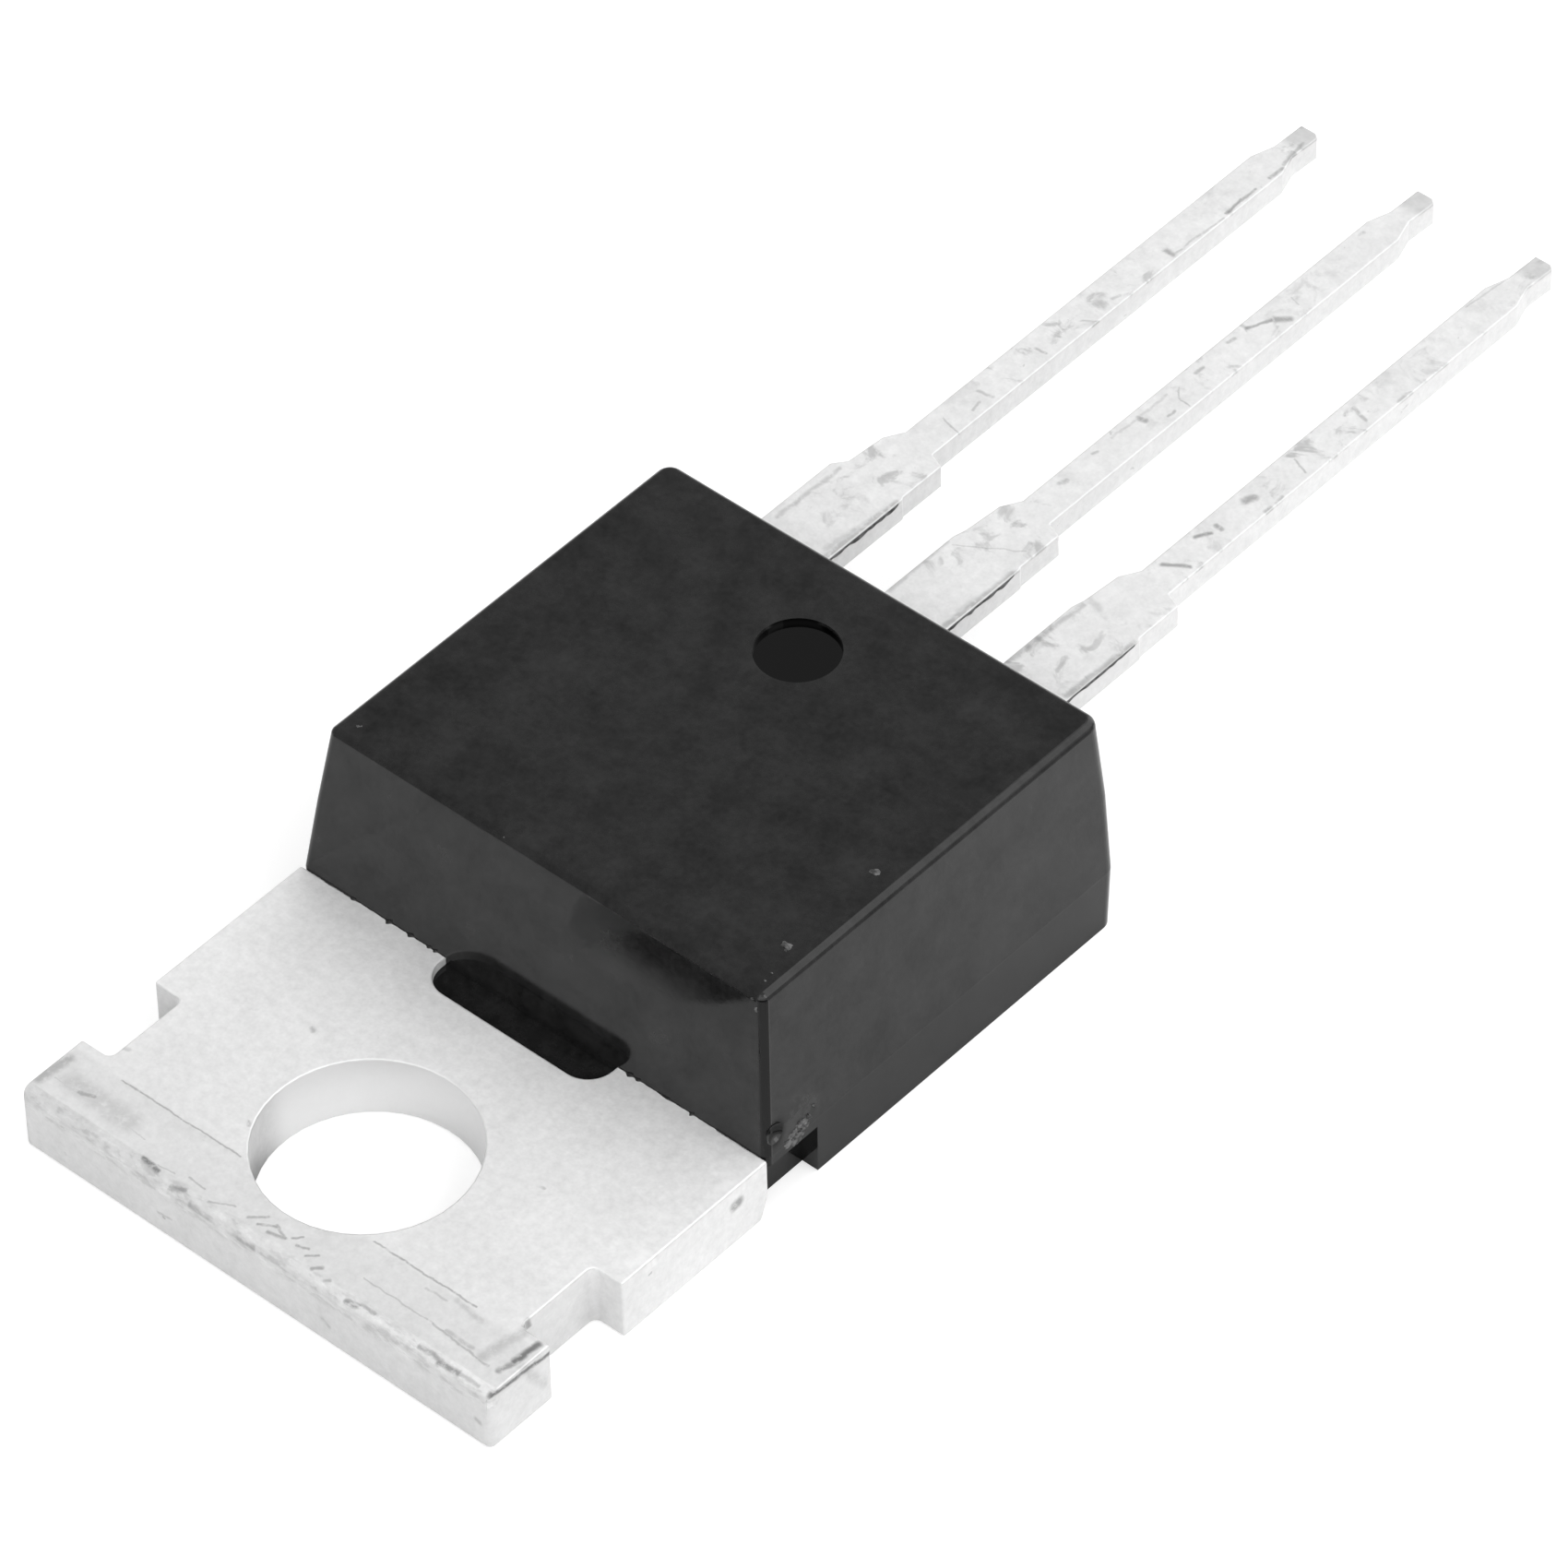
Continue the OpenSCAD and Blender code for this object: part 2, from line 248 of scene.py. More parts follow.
def stain_group():
    """Small dark specks and faint patches of handling stain, as one mask from 0 to 1."""
    s, come, go = new_group("stains", {"Vector": "vector", "Amount": "float"}, {"Mask": "float"})
    patch = s.ramp(s.noise(come["Vector"], 900.0, 4.0, 0.62, 0.4), 0.58, 0.72)
    speck = s.ramp(s.noise(come["Vector"], 4200.0, 3.0, 0.6, 0.6), 0.68, 0.76)
    both = s.maths("ADD", s.times(patch, 0.35), s.times(speck, 0.8), clamp=True)
    s.put(go["Mask"], s.times(both, come["Amount"]))
    return s.tree


def compound_grain_group():
    """Moulding compound: fine filler texture with slight flow clouds, as a shade and a height."""
    s, come, go = new_group("compound_grain", {"Vector": "vector"}, {"Shade": "float", "Height": "float"})
    flow = s.noise(come["Vector"], 1300.0, 4.0, 0.6)
    filler = s.noise(come["Vector"], 9000.0, 2.0, 0.6)
    centred = s.minus(s.plus(flow, s.times(filler, 0.5)), 0.75)
    s.put(go["Shade"], s.plus(1.0, s.times(centred, 2.4)))
    s.put(go["Height"], s.plus(s.times(filler, 0.75), s.times(flow, 0.5)))
    return s.tree


def mark_group():
    """One scratch, stain, painted shade or painted highlight as a mask, along the line that leaves Start by
    Run: as strong as Depth up to a quarter of Width from the line, then fading, and gone at twice Width."""
    s, come, go = new_group("mark", {"Vector": "vector", "Start": "vector", "Run": "vector",
                                     "Width": "float", "Depth": "float"}, {"Mask": "float"})
    away = s.vector("SUBTRACT", come["Vector"], come["Start"])
    along = s.vector("DOT_PRODUCT", away, come["Run"])
    share = s.maths("DIVIDE", along, s.vector("DOT_PRODUCT", come["Run"], come["Run"]))
    share = s.maths("MINIMUM", s.maths("MAXIMUM", share, 0.0), 1.0)
    off = s.vector("LENGTH", s.vector("SUBTRACT", away, s.vector("SCALE", come["Run"], share)))
    fade = s.ramp(off, s.times(come["Width"], 0.25), s.times(come["Width"], 2.0), 1.0, 0.0)
    s.put(go["Mask"], s.times(fade, come["Depth"]))
    return s.tree


GRAIN = plating_grain_group()
STAINS = stain_group()
COMPOUND = compound_grain_group()
MARK = mark_group()


def flat_place(s, across, along):
    """Two of the three coordinates as a flat vector, wavering a little so that marks get ragged edges."""
    noise = s.add("ShaderNodeTexNoise")
    s.put(noise.inputs["Vector"], s.place)
    noise.inputs["Scale"].default_value = 4200.0
    noise.inputs["Detail"].default_value = 3.0
    moved = s.add("ShaderNodeVectorMath", operation="MULTIPLY_ADD")
    s.put(moved.inputs[0], noise.outputs["Color"])
    moved.inputs[1].default_value = (2 * WAVER * MM,) * 3
    moved.inputs[2].default_value = (-WAVER * MM,) * 3
    shift = s.split(moved.outputs[0])
    return s.flat(s.plus(across, shift[0]), s.plus(along, shift[1]))


def all_marks(s, flat, rows):
    """The deepest of a table's marks at each point, broken up by fine noise."""
    not_zero = 1e-8
    deepest = 0.0
    for x0, y0, x1, y1, width, depth in rows:
        run = ((x1 - x0) * MM, (y1 - y0) * MM + not_zero, 0.0)
        start = (x0 * MM, y0 * MM, 0.0)
        mark = s.group(MARK, Vector=flat, Start=start, Run=run, Width=width * MM, Depth=depth)
        deepest = s.most(deepest, mark["Mask"])
    broken = s.ramp(s.noise(flat, 6500.0, 4.0, 0.7), 0.32, 0.52, 0.35, 1.0)
    return s.times(deepest, broken)


# Scuffs on the tab's top, with painted shade on the ears' bent corners and beside the notch, in mm: from x,
# y to x, y, half width, depth from 0 to 1
TAB_MARKS = (
    (-3.91, -1.48, -1.37, -1.45, 0.014, 0.55),  # scratch left
    (1.47, -1.42, 3.62, -1.39, 0.016, 0.6),  # scratch right
    (1.87, -2.09, 3.35, -2.08, 0.012, 0.35),  # low line right
    (3.35, -2.08, 4.58, -2.18, 0.018, 0.45),  # low line right dark
    (-4.77, -2.12, -2.75, -2.15, 0.012, 0.25),  # ear left line
    (-4.95, -2.3, -4.89, -1.69, 0.085, 0.50),  # ear left patch a, painted shade
    (-4.26, -2.10, -4.01, -2.02, 0.037, 0.60),  # ear left patch b, painted shade
    (-4.5, -2.0, -3.23, -2.05, 0.17, 0.26),  # ear left shade, painted
    (-2.49, -2.47, -2.16, -2.50, 0.037, 0.90),  # pit a
    (-2.24, -2.42, -1.89, -2.38, 0.011, 0.35),  # pit a tail
    (-1.79, -2.61, -1.54, -2.54, 0.030, 0.55),  # streak b
    (-1.66, -2.31, -1.31, -2.32, 0.015, 0.40),  # streak c
    (-1.09, -2.49, -0.69, -2.28, 0.015, 0.40),  # streak d
    (-1.35, -2.64, -0.75, -2.70, 0.030, 0.40),  # streak e
    (-0.67, -2.73, 0.03, -2.67, 0.034, 0.65),  # streak f
    (-0.38, -2.33, -0.15, -2.11, 0.022, 0.50),  # stroke 1
    (-0.16, -2.32, 0.10, -2.18, 0.022, 0.60),  # stroke 2
    (0.07, -2.35, 0.35, -2.27, 0.030, 0.60),  # stroke 3
    (0.08, -2.15, 0.32, -2.24, 0.022, 0.50),  # stroke 4
    (0.44, -2.20, 0.57, -2.08, 0.019, 0.60),  # stroke 5
    (0.60, -2.26, 0.80, -2.20, 0.022, 0.55),  # stroke 6
    (0.86, -2.35, 1.02, -2.19, 0.022, 0.60),  # stroke 7
    (1.13, -2.47, 1.22, -2.35, 0.030, 0.60),  # stroke 8
    (1.42, -2.53, 1.51, -2.46, 0.022, 0.40),  # stroke 9
    (0.73, -2.76, 0.90, -2.75, 0.026, 0.50),  # stroke 10
    (1.96, -2.58, 2.21, -2.54, 0.034, 0.75),  # streak g
    (2.22, -2.51, 2.51, -2.52, 0.022, 0.45),  # streak g2
    (3.48, -2.54, 3.94, -2.55, 0.030, 0.60),  # streak h
    (3.91, -2.58, 4.31, -2.56, 0.037, 0.80),  # streak h2
    (4.31, -2.56, 4.74, -2.54, 0.022, 0.45),  # streak h3
    (2.75, -1.60, 3.16, -1.58, 0.022, 0.30),  # graze a
    (3.30, -1.48, 3.85, -1.57, 0.045, 0.25),  # graze b
    (3.59, -2.05, 4.15, -2.07, 0.030, 0.35),  # graze c
    (4.77, -2.15, 4.86, -1.82, 0.045, 0.70),  # ear right band a, painted shade
    (4.83, -1.84, 4.86, -1.34, 0.052, 1.00),  # ear right band b, painted shade
    (4.39, -2.07, 4.54, -1.19, 0.090, 0.30),  # ear right shade, painted
    (4.61, -1.05, 4.54, -0.38, 0.037, 0.30),  # notch shade, painted
    (4.44, -1.20, 4.41, -1.04, 0.030, 0.70),  # notch dark, painted shade
    (-2.40, 1.30, -2.36, 1.28, 0.037, 0.45),  # speck 1
    (2.69, 1.13, 2.73, 1.12, 0.026, 0.40),  # speck 2
    (-1.78, -0.83, -1.73, -0.87, 0.030, 0.45),  # speck 3
    (-4.51, -0.97, -4.30, -0.92, 0.030, 0.30),  # speck 4
)

# The same on the tab's +X side, with painted shade on the ear's edge: y, z to y, z
TAB_SIDE_MARKS = (
    (3.04, 0.85, 3.14, 0.86, 0.085, 0.80),  # dark pit
    (1.03, 0.93, 1.09, 0.94, 0.022, 0.50),  # small pit
    (-2.64, 1.18, -1.23, 1.05, 0.037, 1.00),  # ear edge band, painted shade
    (-1.99, 1.40, -1.41, 0.47, 0.075, 0.25),  # ear side stain
)

# The same on the tab's front: x, z to x, z
TAB_FRONT_MARKS = (
    (-1.95, 0.40, -1.91, 0.39, 0.019, 0.50),  # speck 1
    (-2.07, 0.43, -1.77, 0.47, 0.022, 0.35),  # speck 2
    (1.47, 0.47, 1.61, 0.39, 0.037, 0.30),  # speck 3
    (4.74, 0.52, 4.81, 0.49, 0.045, 0.40),  # speck 4
    (-4.12, 0.38, -4.10, 0.35, 0.022, 0.30),  # speck 5
)

# Raised shear lines on the tab's top, painted lighter than the plating as their highlight
TAB_BURRS = (
    (4.84, 0.84, 4.92, 1.02, 0.085, 0.75),  # facet 1
    (4.8, 2.9, 4.9, 3.12, 0.085, 0.7),  # facet 2
    (4.72, 1.12, 5.0, 1.16, 0.04, 0.5),  # lip 1
    (4.68, 3.2, 5.0, 3.27, 0.04, 0.5),  # lip 2
)

# Stains on lead 1's top, with painted shade in the side line and shade rows: x, y to x, y
LEAD_1_MARKS = (
    (3.14, 13.28, 3.20, 14.91, 0.050, 0.50),  # side line, painted shade
    (1.90, 13.26, 1.99, 15.06, 0.045, 0.40),  # left edge
    (2.36, 16.60, 2.72, 16.84, 0.040, 0.75),  # bar
    (2.37, 17.42, 2.49, 17.66, 0.034, 0.75),  # dots a
    (2.45, 17.85, 2.58, 17.85, 0.037, 0.65),  # dots b
    (2.44, 18.61, 2.50, 18.77, 0.062, 0.70),  # triangle
    (2.86, 18.63, 2.87, 18.75, 0.037, 0.50),  # blot c
    (2.86, 18.91, 2.84, 19.07, 0.030, 0.40),  # blot d
    (2.44, 19.88, 2.76, 19.78, 0.015, 0.45),  # line
    (2.39, 21.48, 2.72, 21.36, 0.030, 0.50),  # blot e
    (3.00, 21.40, 3.00, 21.83, 0.022, 0.45),  # line b
    (2.84, 22.10, 2.88, 22.37, 0.037, 0.45),  # blot f
    (3.00, 20.73, 3.00, 20.85, 0.030, 0.50),  # blot g
    (2.90, 23.23, 2.90, 23.29, 0.030, 0.40),  # blot h
    (2.99, 24.95, 3.00, 25.02, 0.030, 0.40),  # blot i
    (2.27, 24.58, 2.36, 25.93, 0.015, 0.30),  # edge line
    (1.95, 15.22, 2.25, 15.14, 0.060, 0.25),  # painted shade
)

# Stains on lead 2's top, with painted shade in the side line and shade rows: x, y to x, y
LEAD_2_MARKS = (
    (0.60, 13.24, 0.66, 14.84, 0.055, 0.50),  # side line, painted shade
    (0.55, 13.64, 0.73, 14.76, 0.060, 0.25),  # painted shade
    (-0.62, 13.27, -0.67, 14.73, 0.037, 0.35),  # left edge
    (-0.55, 14.73, 0.48, 15.39, 0.013, 0.30),  # diagonal
    (-0.17, 18.99, -0.05, 19.01, 0.045, 0.65),  # blot a
    (-0.16, 16.96, -0.11, 17.09, 0.037, 0.45),  # blot b
    (-0.20, 17.85, -0.17, 17.95, 0.026, 0.40),  # blot c
    (0.18, 19.33, 0.18, 19.50, 0.022, 0.50),  # blot d
    (-0.15, 20.44, -0.15, 20.62, 0.030, 0.50),  # blot e
    (-0.20, 21.81, 0.03, 22.36, 0.030, 0.65),  # tail
    (0.02, 22.30, 0.20, 22.44, 0.060, 0.70),  # head
    (-0.21, 21.36, -0.20, 21.49, 0.030, 0.45),  # blot f
    (0.05, 19.77, -0.14, 19.99, 0.013, 0.40),  # curve a
    (0.08, 19.76, 0.29, 19.77, 0.013, 0.40),  # curve b
    (0.47, 21.94, 0.42, 21.28, 0.015, 0.40),  # edge dark
    (-0.23, 24.82, -0.21, 24.89, 0.030, 0.35),  # tip mark
    (-0.12, 22.89, 0.09, 22.83, 0.013, 0.30),  # line
    (-0.20, 18.34, -0.17, 19.72, 0.022, 0.25),  # run
)

# Stains on lead 3's top, with painted shade in the side line and shade rows: x, y to x, y
LEAD_3_MARKS = (
    (-1.93, 13.20, -1.89, 14.90, 0.055, 0.50),  # side line, painted shade
    (-2.06, 13.35, -1.85, 14.69, 0.060, 0.30),  # painted shade
    (-3.17, 13.38, -3.14, 14.89, 0.037, 0.35),  # left edge
    (-2.64, 16.91, -2.18, 16.80, 0.013, 0.40),  # nick
    (-2.39, 17.38, -2.42, 17.59, 0.022, 0.40),  # blot a
    (-2.62, 17.77, -2.34, 17.83, 0.030, 0.40),  # blot b
    (-2.56, 19.16, -2.34, 19.21, 0.022, 0.45),  # blot c
    (-2.27, 23.79, -2.31, 24.20, 0.026, 0.70),  # streak a
    (-2.29, 24.17, -2.29, 24.56, 0.022, 0.60),  # streak b
    (-2.46, 22.42, -2.29, 22.42, 0.045, 0.60),  # blot d
    (-2.29, 24.92, -2.28, 25.26, 0.030, 0.60),  # streak c
    (-2.32, 25.35, -2.41, 25.95, 0.030, 0.45),  # streak d
    (-2.38, 20.94, -2.35, 21.05, 0.030, 0.35),  # blot e
    (-2.30, 22.38, -2.24, 23.66, 0.019, 0.35),  # run
)


def plating(name, stain):
    """Tin plating with its own amount of stains. Returns the sheet, the grain and the shade so far."""
    s = Surface(name)
    grain = s.group(GRAIN, Vector=s.place, Depth=0.5)
    stains = s.group(STAINS, Vector=s.place, Amount=stain)["Mask"]
    s.shader["Metallic"].default_value = TIN_METAL
    s.shader["Specular IOR Level"].default_value = 0.4
    stained = s.times(grain["Shade"], TIN, s.ramp(stains, 0.0, 1.0, 1.0, 0.6))
    # Painted shade: faces that do not look up are a little darker.
    sheared = s.ramp(s.facing()[2], 0.2, 0.7, 0.92, 1.0)
    return s, grain, s.times(stained, sheared)


def finish_plating(s, grain, value):
    """The plating's colour, roughness and fine relief."""
    s.put(s.shader["Base Color"], s.even(value))
    s.put(s.shader["Roughness"], s.ramp(grain["Height"], 0.3, 0.7, 0.42, 0.56))
    s.relief(grain["Height"], 0.3, 0.02)


def tab_material():
    """The tab: a front band painted darker as shade where it bends down, scuffs and dents on top, painted
    shade at the ears and the notch, stains on the side and the front, a painted highlight along the sheared
    edges, a hole wall painted bright and worn patches on the front roll."""
    s, grain, value = plating("tab_plating", 0.3)
    way_x, way_y, way_z = s.facing()
    top = s.ramp_mm(s.z, TAB_TOP - 0.22, TAB_TOP - 0.16)
    # Painted shade: the front band of the top, where it bends slightly down, is a little darker.
    front_band_shade = s.times(top, s.ramp_mm(s.y, FRONT_BAND_END - 0.05, FRONT_BAND_END + 0.05, 1.0, 0.0))
    value = s.darker(value, front_band_shade, 0.93)
    # Painted light: brighter towards the plastic and darker towards the front, against the shade and dark
    # reflection the plastic gives there.
    value = s.times(value, s.ramp_mm(s.y, -2.6, 3.4, 0.94, 1.06))

    over_top = flat_place(s, s.x, s.y)
    scuffs = s.times(all_marks(s, over_top, TAB_MARKS), top)
    on_side = s.ramp_mm(s.x, 4.9, 4.99)
    side = s.times(all_marks(s, flat_place(s, s.y, s.z), TAB_SIDE_MARKS), on_side)
    below_top = s.ramp_mm(s.z, TAB_TOP - 0.06, TAB_TOP - 0.01, 1.0, 0.0)
    on_front = s.times(below_top, s.ramp_mm(s.y, -2.62, -2.5, 1.0, 0.0))
    front = s.times(all_marks(s, flat_place(s, s.x, s.z), TAB_FRONT_MARKS), on_front)
    # Scuffs, pits and stains, with the painted shade of the ears, the notch and the ear's side edge, darken
    # the tin.
    value = s.darker(value, s.most(scuffs, side, front), 0.28)
    # Painted highlight on the raised shear facets.
    value = s.lighter(value, s.times(all_marks(s, over_top, TAB_BURRS), top, 0.6), 0.92)

    # Painted highlight on the bevels that face +X or the front, broken up, and painted shade on the bevels
    # turned further to +X.
    tilted = s.band(way_z, 0.3, 0.9, 0.12)
    right_or_front = s.most(s.ramp(way_x, 0.1, 0.4), s.ramp(way_y, -0.4, -0.1, 1.0, 0.0))
    behind_roll = s.ramp_mm(s.y, -2.3, -2.1)
    broken = s.ramp(s.noise(s.place, 2600.0, 2.0, 0.6), 0.42, 0.6)
    value = s.lighter(value, s.times(tilted, right_or_front, behind_roll, broken, 0.25), 0.85)
    value = s.darker(value, s.times(tilted, s.ramp(way_x, 0.4, 0.6)), 0.84)

    to_axis = s.vector("LENGTH", s.flat(s.x, s.y))
    bore = s.ramp_mm(to_axis, HOLE_RADIUS + 0.005, HOLE_RADIUS + 0.035, 1.0, 0.0)
    rear_wall = s.ramp(way_y, -0.1, 0.3, 1.0, 0.0)
    # Painted light on the hole's wall that faces the front.
    value = s.lighter(value, s.times(bore, rear_wall), 0.84)

    patches = s.noise(s.vector("MULTIPLY", s.place, (1.0, 2.6, 2.6)), 2300.0, 4.0, 0.65)
    on_roll = s.times(s.ramp_mm(s.y, -2.55, -2.35, 1.0, 0.0), s.ramp_mm(s.z, 0.8, 0.95))
    value = s.darker(value, s.times(on_roll, s.ramp(patches, 0.48, 0.62)), 0.82)
    value = s.lighter(value, s.times(on_roll, s.ramp(patches, 0.46, 0.34, 0.0, 0.4)), 0.85)
    finish_plating(s, grain, value)
    s.put(s.shader["Metallic"], s.plus(TIN_METAL, s.times(bore, 0.4)))
    return s.material


def lead_material(name, rows):
    """A lead: its own stains and blots on top, with painted shade along its edge near the body, a duller
    tip, a painted highlight on the sheared edge on the +X side and painted shade on the one on the other."""
    s, grain, value = plating(name, 0.7)
    way_x, way_y, way_z = s.facing()
    top = s.ramp_mm(s.z, LEAD_TOP - 0.06, LEAD_TOP - 0.03)
    value = s.darker(value, s.times(all_marks(s, flat_place(s, s.x, s.y), rows), top), 0.3)
    # Painted highlight on the bevels facing +X.
    tilted = s.band(way_z, 0.3, 0.9, 0.12)
    value = s.lighter(value, s.times(tilted, 0.3, s.ramp(way_x, 0.1, 0.4)), 0.8)
    blots = s.ramp(s.noise(s.place, 1900.0, 4.0, 0.6, 0.6), 0.52, 0.66)
    in_places = s.ramp(s.noise(s.place, 420.0, 1.0), 0.4, 0.6)
    value = s.darker(value, s.times(blots, in_places, top), 0.66)
    tip = s.ramp_mm(s.y, 25.7, 25.95)
    value = s.darker(value, s.times(top, tip), 0.8)
    value = s.darker(value, top, 0.96)
    # Painted shade on the bevels facing -X.
    value = s.darker(value, s.times(tilted, s.ramp(way_x, -0.4, -0.1, 1.0, 0.0)), 0.72)
    finish_plating(s, grain, value)
    return s.material


def side_reach(s, y, z):
    """Distance over the +X side from a place given in mm."""
    return s.vector("LENGTH", s.flat(s.minus(s.y, y * MM), s.minus(s.z, z * MM)))


def body_material():
    """Black compound: glossy mould skin, with painted shade, dark and without gloss, on the upright front
    corner, the ejector mark's floor, the foot of the side and the gate's crater. The side has a fine painted
    highlight line beside that corner and a torn patch at the gate."""
    s = Surface("moulding_compound")
    way_x, way_y, way_z = s.facing()
    grain = s.group(COMPOUND, Vector=s.place)
    value = s.times(grain["Shade"], 0.012)
    on_side = s.ramp(way_x, 0.9, 0.97)

    # Painted shade: a dark strip without gloss on the upright front corner, for the dark it mirrors.
    corner = s.times(s.ramp(way_x, 0.05, 0.3), s.ramp(way_y, -0.3, -0.05, 1.0, 0.0),
                     s.ramp(way_z, 0.35, 0.6, 1.0, 0.0))
    # Painted shade: the ejector mark's floor dark and without gloss, for the dark it mirrors.
    middle = Vector((EJECTOR_X, EJECTOR_Y, EJECTOR_FLOOR + 0.04)) * MM
    from_middle = s.vector("DISTANCE", s.place, middle)
    floor_of_mark = s.times(s.ramp_mm(from_middle, EJECTOR_RADIUS + 0.015, EJECTOR_RADIUS + 0.065, 1.0, 0.0),
                            s.ramp_mm(s.z, EJECTOR_FLOOR + 0.02, EJECTOR_FLOOR + 0.08, 1.0, 0.0))
    # Painted shade: the foot of the side dimmed, for the shadowed floor it mirrors.
    foot = s.times(s.ramp_mm(s.z, TAB_TOP - 0.02, TAB_TOP + 0.02, 0.45, 0.0), on_side)
    # Painted shade in the gate's crater.
    crater = s.times(s.ramp_mm(side_reach(s, 4.1, 1.6), 0.08, 0.34, 0.92, 0.0), on_side)
    dull = s.most(corner, floor_of_mark, foot, crater)
    tone = s.plus(s.plus(s.times(corner, 0.034), s.times(floor_of_mark, 0.03)), s.times(foot, 0.012))
    value = s.plus(s.times(value, s.rest(dull)), tone)

    # Painted highlight: a fine light line on the side beside the front corner.
    line = s.times(s.band(way_y, -0.2, -0.1, 0.05), s.ramp(way_x, 0.9, 0.95))
    value = s.lighter(value, s.times(line, 0.5), 0.05)
    near_gate = s.ramp_mm(side_reach(s, 4.66, 1.55), 0.25, 0.58, 1.0, 0.0)
    torn = s.times(on_side, near_gate, s.ramp(s.noise(s.place, 2900.0, 4.0, 0.6), 0.38, 0.62))
    value = s.lighter(value, s.times(torn, 0.7), 0.05)
    s.put(s.shader["Base Color"], s.even(value))
    # A dark metal mirrors only its own low tone, so this takes the gloss off the places of painted shade.
    s.put(s.shader["Metallic"], dull)
    s.shader["Specular IOR Level"].default_value = 0.37
    s.put(s.shader["Roughness"], s.plus(s.ramp(grain["Height"], 0.3, 0.9, 0.06, 0.11), s.times(torn, 0.5)))
    s.relief(grain["Height"], 0.06, 0.01)
    return s.material


def break_material():
    """Torn compound at the gate, on the leads' edges and as loose flakes: paler, dull and grainy."""
    s = Surface("torn_compound")
    grain = s.group(COMPOUND, Vector=s.place)
    s.put(s.shader["Base Color"], s.even(s.ramp(s.noise(s.place, 9000.0, 3.0, 0.6), 0.35, 0.65, 0.02, 0.12)))
    s.put(s.shader["Roughness"], s.ramp(grain["Height"], 0.3, 0.9, 0.5, 0.8))
    return s.material


def inner_material(name, shade, rough, metallic):
    """A sealed inner piece: its metal or silicon with a little grain."""
    s = Surface(name)
    grain = s.group(GRAIN, Vector=s.place, Depth=0.15)
    s.put(s.shader["Base Color"], s.even(s.times(grain["Shade"], shade)))
    s.shader["Metallic"].default_value = metallic
    s.shader["Roughness"].default_value = rough
    return s.material


def dress(node, material):
    """Gives the node this one material."""
    nodes[node].data.materials.clear()
    nodes[node].data.materials.append(material)


def soften(node, width):
    """Rounds the sheared edges, width in mm: loose triangles joined, flat faces made whole, then a bevel."""
    obj = nodes[node]
    weld = obj.modifiers.new("join", "WELD")
    weld.merge_threshold = 0.0002 * MM
    flatten = obj.modifiers.new("flatten", "DECIMATE")
    flatten.decimate_type = "DISSOLVE"
    flatten.angle_limit = math.radians(1.0)
    bevel = obj.modifiers.new("soften", "BEVEL")
    bevel.width = width * MM
    bevel.segments = 2
    bevel.limit_method = "ANGLE"
    bevel.angle_limit = math.radians(40.0)
    bevel.use_clamp_overlap = True


PLASTIC = body_material()
dress("moulded_body", PLASTIC)
dress("heatsink_tab", tab_material())
soften("heatsink_tab", 0.035)
for node, name, rows in (("gate_lead", "lead_1_plating", LEAD_1_MARKS),
                         ("middle_lead", "lead_2_plating", LEAD_2_MARKS),
                         ("source_lead", "lead_3_plating", LEAD_3_MARKS)):
    dress(node, lead_material(name, rows))
    soften(node, 0.03)
dress("chip", inner_material("silicon", 0.4, 0.25, 0.6))
dress("chip_solder", inner_material("chip_solder", 0.6, 0.5, 1.0))
wire = inner_material("bond_wire", 0.85, 0.3, 1.0)
for node in ("gate_wire", "source_wire_inner", "source_wire_outer"):
    dress(node, wire)
TORN = break_material()


# Small pieces of resin
def piece_from(name, points, faces, material):
    """A piece of epoxy that rides on the part, from points in metres and triangles."""
    mesh = bpy.data.meshes.new(name)
    mesh.vertices.add(len(points))
    mesh.vertices.foreach_set("co", np.ascontiguousarray(points, dtype=np.float32).ravel())
    faces = np.asarray(faces, dtype=np.int32)
    mesh.loops.add(faces.size)
    mesh.loops.foreach_set("vertex_index", faces.ravel())
    mesh.polygons.add(len(faces))
    mesh.polygons.foreach_set("loop_start", np.arange(len(faces), dtype=np.int32) * faces.shape[1])
    mesh.update(calc_edges=True)
    mesh.validate()
    mesh.shade_flat()
    mesh.materials.append(material)
    obj = bpy.data.objects.new(name, mesh)
    bpy.context.scene.collection.objects.link(obj)
    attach(obj, "root")


